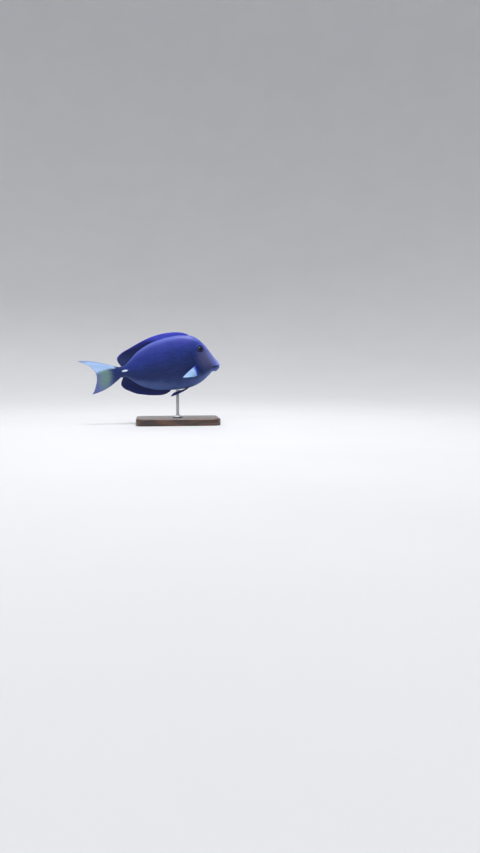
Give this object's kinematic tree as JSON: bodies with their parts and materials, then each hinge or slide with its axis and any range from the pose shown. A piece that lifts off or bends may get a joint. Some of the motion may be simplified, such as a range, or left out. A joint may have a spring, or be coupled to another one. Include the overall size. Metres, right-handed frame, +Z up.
{
  "type": "atlantic blue tang model on a stand",
  "caption": "Life-size still model of a deep-bodied reef surgeonfish, nose slightly up, held by a short rod on a flat plinth.",
  "frame": {"origin": "middle of the stand's underside, on the surface that it stands on", "axes": "+X the way the fish looks, +Y to the fish's left, +Z up"},
  "size_m": [0.2305, 0.0854, 0.1509],
  "materials": {
    "skin": "painted skin of fine scales, violet-blue with thin wavy pale lines, satin",
    "fin": "dark blue rayed membrane with a bright blue edge, satin",
    "tail_fin": "pale yellow-grey rayed membrane, blue-grey at its root, satin",
    "pale_fin": "pale blue-white rayed membrane, satin",
    "eye": "dark polished eye under a clear cornea",
    "scalpel": "smooth ivory-white spine",
    "stand_wood": "dark hardwood under satin varnish",
    "stand_steel": "turned and brushed steel"
  },
  "bodies": {
    "root": {"head": "skin", "lower_jaw": "skin", "torso": "skin", "tail_stalk": "skin", "dorsal_fin": "fin", "anal_fin": "fin", "tail_fin_upper": "tail_fin", "tail_fin_lower": "tail_fin", "pectoral_fin_left": "pale_fin", "pectoral_fin_right": "pale_fin", "pelvic_fin_left": "fin", "pelvic_fin_right": "fin", "eye_left": "eye", "eye_right": "eye", "scalpel_left": "scalpel", "scalpel_right": "scalpel", "stand_base": "stand_wood", "stand_rod": "stand_steel"}
  },
  "joints": []
}
